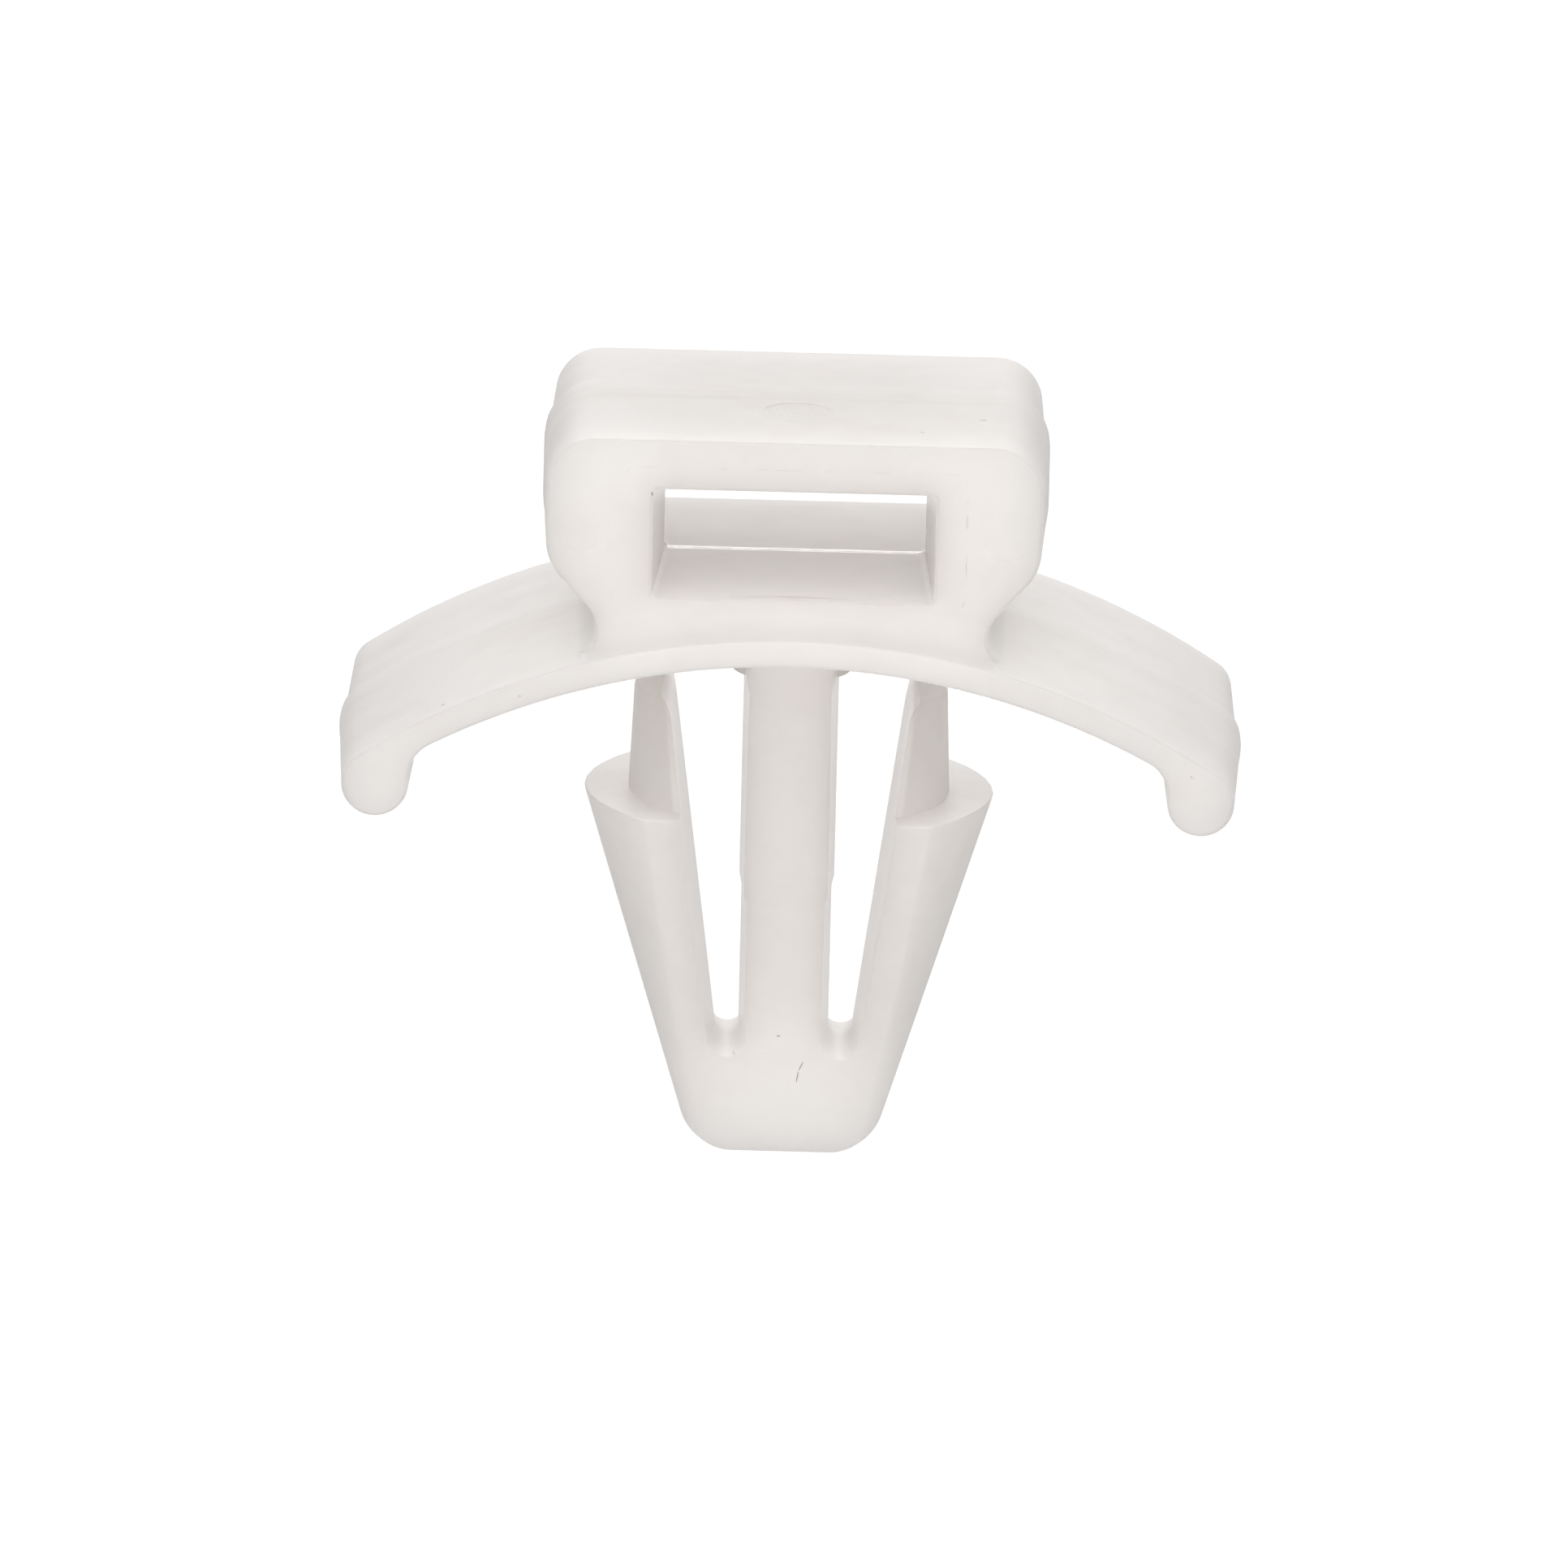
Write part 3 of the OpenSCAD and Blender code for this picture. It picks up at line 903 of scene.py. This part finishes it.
@dataclass(frozen=True)
class NaturalNylon:
    """Natural nylon 66 as it leaves the mould, undyed: milky, warm grey and satin.

    Light goes some millimetres into it before it scatters back, so the whole part glows softly
    and every edge is soft. The polished cores leave the slot and the gaps glossier than the rest.
    """

    colour: str = "#FAF6F3"
    cloud_colour: str = "#F5F0ED"
    mark_and_shade_colour: str = "#7D756F"
    scatter_mm: float = 6.0
    roughness: float = 0.5
    polish: float = 0.12
    ior: float = 1.53
    grain_mm: float = 0.12
    grain_depth_mm: float = 0.0016
    cloud_mm: float = 1.6
    cloud_step: tuple[float, float] = (0.35, 0.7)
    slot_centre: Triple = (0.0, 0.0, 5.45)
    slot_half: Triple = (2.75, 3.57, 1.15)
    side_step: tuple[float, float] = (0.6, 0.9)
    wall_gloss: float = 0.6
    crest_y: float = 0.22
    crest_half: float = 0.2
    gap_gloss: float = 0.55
    gap_reach: float = 2.0
    gap_lean: float = 0.135
    gap_top: float = 2.4
    insert_centre: Triple = (0.0, -3.6, 5.6)
    insert_half: Triple = (3.15, 0.0, 1.28)
    insert_r: float = 0.25
    line_w: float = 0.0256
    line_front_y: float = -3.5
    line_break_mm: float = 0.45
    line_break: tuple[float, float] = (0.47, 0.6)
    line_right: Triple = (3.0, 3.14, 0.25)
    line_top: Triple = (6.7, 6.87, 0.1)
    seam_y: float = -0.2
    seam_half: float = 0.05
    seam_low: float = 2.3
    seam_wander: float = 0.12
    seam_wander_mm: float = 0.9
    seam_break_mm: float = 0.7
    seam_break: Triple = (0.4, 0.6, 0.06)
    gate_at: Triple = (0.0, -1.47, 7.5)
    gate_half: Triple = (0.66, 0.66, 0.3)
    gate_grain_mm: float = 0.12
    gate_depth_mm: float = 0.025

    def in_slot(self, tree: Tree, place: Socket) -> Socket:
        """1 inside the box that holds the slot, and 0 outside it."""
        off = vector(tree, "ABSOLUTE", vector(tree, "SUBTRACT", place, self.slot_centre))
        share = axes(tree, vector(tree, "DIVIDE", off, self.slot_half))
        largest = compute(tree, "MAXIMUM", compute(tree, "MAXIMUM", share[0], share[1]), share[2])
        return compute(tree, "LESS_THAN", largest, 1.0)

    def polished(self, tree: Tree, place: Socket, normal: Socket,
                 slot: Socket) -> Socket:
        """Share of polish that the cores of the mould left on a place.

        They polished the side walls of the slot and the crest of its floor, and the sides of the
        gaps and of the stem, which lie nearer to the axis than a reach plus a lean times the
        height.

        Args:
            tree: Node tree that gets the nodes.
            place: Place in millimetres.
            normal: Direction that the surface faces.
            slot: 1 inside the slot, and 0 outside it.

        Returns:
            The share, from 0 to 1.
        """
        x, y, z = axes(tree, place)
        side = axes(tree, normal)[0]
        facing = ramp(tree, compute(tree, "ABSOLUTE", side), *self.side_step)
        off = compute(tree, "ABSOLUTE", compute(tree, "SUBTRACT", y, self.crest_y))
        crest = compute(tree, "LESS_THAN", off, self.crest_half)
        walls = compute(tree, "MULTIPLY", facing, self.wall_gloss)
        core = compute(tree, "MULTIPLY", slot, compute(tree, "MAXIMUM", walls, crest))
        reach = compute(tree, "MULTIPLY_ADD", z, self.gap_lean, self.gap_reach)
        near = compute(tree, "LESS_THAN", compute(tree, "ABSOLUTE", x), reach)
        low = compute(tree, "LESS_THAN", z, self.gap_top)
        gap = compute(tree, "MULTIPLY", compute(tree, "MULTIPLY", near, low), facing)
        return compute(tree, "MAXIMUM", core, compute(tree, "MULTIPLY", gap, self.gap_gloss))

    def insert_line(self, tree: Tree, place: Socket) -> Socket:
        """Broken hairline where a core insert of the mould meets the front face.

        It is the outline of a rounded rectangle: the places whose distance outside the rectangle
        drawn in by the corner radius equals that radius. It is stronger at the right and the top.

        Args:
            tree: Node tree that gets the nodes.
            place: Place in millimetres.

        Returns:
            The strength of the line, 0 off it.
        """
        inner = tuple(max(h - self.insert_r, 0.5) for h in self.insert_half)
        off = vector(tree, "ABSOLUTE", vector(tree, "SUBTRACT", place, self.insert_centre))
        out = vector(tree, "MAXIMUM", vector(tree, "SUBTRACT", off, inner), (0.0, 0.0, 0.0))
        past = compute(tree, "SUBTRACT", vector(tree, "LENGTH", out), self.insert_r)
        away = compute(tree, "ABSOLUTE", past)
        x, y, z = axes(tree, place)
        front = compute(tree, "LESS_THAN", y, self.line_front_y)
        broken = ramp(tree, noise(tree, place, self.line_break_mm, 2.0), *self.line_break)
        deep = compute(tree, "ADD", ramp(tree, x, *self.line_right), ramp(tree, z, *self.line_top))
        line = compute(tree, "MULTIPLY", ramp(tree, away, self.line_w, 0.0), broken)
        return compute(tree, "MULTIPLY", compute(tree, "MULTIPLY", line, deep), front)

    def seam(self, tree: Tree, place: Socket) -> Socket:
        """Faint uneven parting line over the top of the head and the wings.

        Args:
            tree: Node tree that gets the nodes.
            place: Place in millimetres.

        Returns:
            The strength of the line, 0 off it.
        """
        _, y, z = axes(tree, place)
        uneven = noise(tree, place, self.seam_wander_mm, 2.0)
        middle = -self.seam_wander / 2 - self.seam_y
        wander = compute(tree, "MULTIPLY_ADD", uneven, self.seam_wander, middle)
        away = compute(tree, "ABSOLUTE", compute(tree, "ADD", y, wander))
        broken = ramp(tree, noise(tree, place, self.seam_break_mm, 2.0), *self.seam_break)
        line = compute(tree, "MULTIPLY", ramp(tree, away, self.seam_half, 0.0), broken)
        return compute(tree, "MULTIPLY", line, compute(tree, "GREATER_THAN", z, self.seam_low))

    def make(self) -> bpy.types.Material:
        """The material: cloudy milky body, satin grain, small dark marks with one painted shade among them,
        and polished cores' faces.
        """
        material = bpy.data.materials.new("natural_nylon_moulded")
        tree = blank_tree(material)
        source =add_node(tree, "ShaderNodeTexCoord", {}, {}).outputs
        place = vector(tree, "DIVIDE", source["Object"], (MM, MM, MM))
        slot = self.in_slot(tree, place)
        outside = compute(tree, "SUBTRACT", 1.0, slot)
        dark = compute(tree, "MULTIPLY", self.seam(tree, place), outside)
        dark = compute(tree, "MAXIMUM", dark, self.insert_line(tree, place))
        # Dark spots: dirt specks and hair marks, and one painted shade under the left gap.
        for dark_spot in SPECKS_AND_PAINTED_SHADE:
            dark = compute(tree, "MAXIMUM", dark, dark_spot.mask(tree, place))
        cloud = ramp(tree, noise(tree, place, self.cloud_mm, 3.0), *self.cloud_step)
        milky = mix(tree, cloud, linear(self.colour), linear(self.cloud_colour))
        tint = mix(tree, dark, milky, linear(self.mark_and_shade_colour))
        gate = Mark(self.gate_at, self.gate_half).mask(tree, place)
        pits = compute(tree, "MULTIPLY", noise(tree, place, self.gate_grain_mm, 2.0), self.gate_depth_mm)
        rough_gate = compute(tree, "MULTIPLY", gate, pits)
        grain = noise(tree, place, self.grain_mm, 3.0)
        height = compute(tree, "MULTIPLY_ADD", grain, self.grain_depth_mm, rough_gate)
        bump = add_node(tree, "ShaderNodeBump", {}, {"Height": height, "Strength": 1.0, "Distance": MM})
        gloss = self.polished(tree, place, source["Normal"], slot)
        satin = compute(tree, "MULTIPLY_ADD", gloss, self.polish - self.roughness, self.roughness)
        body = add_node(
            tree, "ShaderNodeBsdfPrincipled", {"subsurface_method": "RANDOM_WALK"},
            {
                "Base Color": tint,
                "Roughness": satin,
                "IOR": self.ior,
                "Subsurface Weight": 1.0,
                "Subsurface Radius": (1.0, 1.0, 1.0),
                "Subsurface Scale": self.scatter_mm * MM,
                "Normal": bump.outputs["Normal"],
            },
        )
        add_node(tree, "ShaderNodeOutputMaterial", {}, {"Surface": body.outputs["BSDF"]})
        return material


@dataclass
class TieMount:
    """The whole moulding."""

    mould: Mould = field(default_factory=Mould)
    nylon: NaturalNylon = field(default_factory=NaturalNylon)
    smooth_angle: float = 32.0

    def build(self) -> Object:
        """Fuses wings, head and arrowhead into one closed piece and dresses it."""
        wings = Wings(self.mould)
        piece = wings.build()
        combine(piece, Head(self.mould, wings).build(), Cut.JOIN)
        combine(piece, Arrowhead(wings).build(), Cut.JOIN)
        piece.name = piece.data.name = "moulded_tie_mount"
        piece.data.shade_smooth()
        piece.data.set_sharp_from_angle(angle=math.radians(self.smooth_angle))
        piece.data.materials.clear()
        piece.data.materials.append(self.nylon.make())
        even = piece.modifiers.new("even_normals", "WEIGHTED_NORMAL")
        even.keep_sharp = True
        return piece


# Surroundings


@dataclass(frozen=True)
class Lamp:
    """Square soft lamp that faces the part: place and side in millimetres, power in watts."""

    name: str
    place: Triple
    side: float
    watts: float


LAMPS = (
    Lamp("front_high", (0.0, -290.0, 345.0), 300.0, 0.82),
    Lamp("front_low", (0.0, -430.0, -30.0), 200.0, 1.14),
    Lamp("back_high", (0.0, 380.0, 200.0), 300.0, 0.38),
    Lamp("back_low", (0.0, 430.0, 40.0), 300.0, 0.14),
)


@dataclass
class Studio:
    """White ground, soft lamps and the camera."""

    elevation: float = 14.6
    azimuth: float = 0.25
    roll: float = 1.4
    distance: float = 560.0
    pixels_per_mm: float = 67.0
    origin_px: tuple[float, float] = (972.0, 969.0)
    sensor_mm: float = 36.0
    clip_m: tuple[float, float] = (0.02, 20.0)
    ground_drop: float = 60.0
    ground_side: float = 4000.0
    paper: str = "#ECECEC"
    paper_shade: str = "#A0A0A0"
    paper_glow: float = 0.82
    white: str = "#FFFFFF"
    light: str = "#FFFBF8"
    ambient: float = 0.33
    lamps: tuple[Lamp, ...] = LAMPS

    def camera(self) -> None:
        """Camera that sees the part as the photograph does."""
        el, az = math.radians(self.elevation), math.radians(self.azimuth)
        forward = Vector((-math.sin(az) * math.cos(el), math.cos(az) * math.cos(el), -math.sin(el)))
        right = Vector((math.cos(az), math.sin(az), 0.0))
        up = right.cross(forward)
        turn = Matrix.Rotation(-math.radians(self.roll), 3, forward)
        turned = Matrix((turn @ right, turn @ up, turn @ -forward)).transposed()
        data = bpy.data.cameras.new("camera")
        data.sensor_width = self.sensor_mm
        frame_mm = PHOTO_SIDE / self.pixels_per_mm
        data.lens = self.sensor_mm * self.distance / frame_mm
        data.shift_x = (PHOTO_SIDE / 2 - self.origin_px[0]) / PHOTO_SIDE
        data.shift_y = (self.origin_px[1] - PHOTO_SIDE / 2) / PHOTO_SIDE
        data.clip_start, data.clip_end = self.clip_m
        camera = put("camera", data)
        camera.matrix_world = Matrix.Translation(-forward * self.distance * MM) @ turned.to_4x4()
        bpy.context.scene.camera = camera

    def white_to_lens(self, tree: Tree, seen: Socket,
                      lit: Socket) -> Socket:
        """Shader that camera, glossy and transmission rays see as one, and all others as another.

        Args:
            tree: Node tree that gets the nodes.
            seen: Shader for those three kinds of ray.
            lit: Shader for the light that falls on the part.

        Returns:
            The mixed shader's socket.
        """
        path = add_node(tree, "ShaderNodeLightPath", {}, {}).outputs
        direct = compute(tree, "MAXIMUM", path["Is Camera Ray"], path["Is Glossy Ray"])
        every = compute(tree, "MAXIMUM", direct, path["Is Transmission Ray"])
        return add_node(tree, "ShaderNodeMixShader", {}, {0: every, 1: lit, 2: seen}).outputs[0]

    def world(self) -> None:
        """Even white surroundings that give a plain ambient light."""
        world = bpy.data.worlds.new("white_surroundings")
        bpy.context.scene.world = world
        tree = blank_tree(world)
        colour, white = linear(self.light), linear(self.white)
        lit = add_node(tree, "ShaderNodeBackground", {}, {"Color": colour, "Strength": self.ambient})
        seen = add_node(tree, "ShaderNodeBackground", {}, {"Color": white, "Strength": 1.0})
        out = self.white_to_lens(tree, seen.outputs[0], lit.outputs[0])
        add_node(tree, "ShaderNodeOutputWorld", {}, {"Surface": out})

    def ground(self) -> None:
        """Plain pale floor, well below the part, which a panel would hold.

        The lens sees it white, because a glow is added to the light that it catches, and what it
        catches still keeps the shadow of the part.
        """
        half, z = self.ground_side / 2, -self.ground_drop
        ring = np.array([[-half, -half], [half, -half], [half, half], [-half, half]])
        mesh = bpy.data.meshes.new("ground")
        mesh.from_pydata((np.column_stack([ring, np.full(4, z)]) * MM).tolist(), [], [(0, 1, 2, 3)])
        floor = put("ground", mesh)
        material = bpy.data.materials.new("white_paper_ground")
        tree = blank_tree(material)
        paper = add_node(tree, "ShaderNodeBsdfDiffuse", {}, {"Color": linear(self.paper)})
        shade = add_node(tree, "ShaderNodeBsdfDiffuse", {}, {"Color": linear(self.paper_shade)})
        glow = add_node(
            tree, "ShaderNodeEmission", {}, {"Color": linear(self.white), "Strength": self.paper_glow},
        )
        seen = add_node(tree, "ShaderNodeAddShader", {}, {0: shade.outputs[0], 1: glow.outputs[0]})
        out = self.white_to_lens(tree, seen.outputs[0], paper.outputs[0])
        add_node(tree, "ShaderNodeOutputMaterial", {}, {"Surface": out})
        mesh.materials.append(material)

    def hang(self, lamp: Lamp) -> None:
        """Puts a lamp in its place and turns it to the part."""
        data = bpy.data.lights.new(lamp.name, "AREA")
        data.shape, data.size, data.energy = "SQUARE", lamp.side * MM, lamp.watts
        data.color = linear(self.light)[:3]
        piece = put(lamp.name, data)
        at = Vector(lamp.place) * MM
        piece.matrix_world = Matrix.Translation(at) @ (-at).to_track_quat("-Z", "Y").to_matrix().to_4x4()

    def build(self) -> None:
        """Makes the whole surroundings."""
        self.camera()
        self.world()
        self.ground()
        for lamp in self.lamps:
            self.hang(lamp)
        bpy.context.scene.view_settings.view_transform = "Standard"


def main() -> None:
    """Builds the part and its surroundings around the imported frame."""
    logging.basicConfig(level=logging.INFO, format="%(name)s: %(message)s")
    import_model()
    Studio().build()
    piece = TieMount().build()
    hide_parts("tie_mount")
    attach(piece, "root")
    LOG.info("%s: %d faces", piece.name, len(piece.data.polygons))


if __name__ == "__main__":
    main()
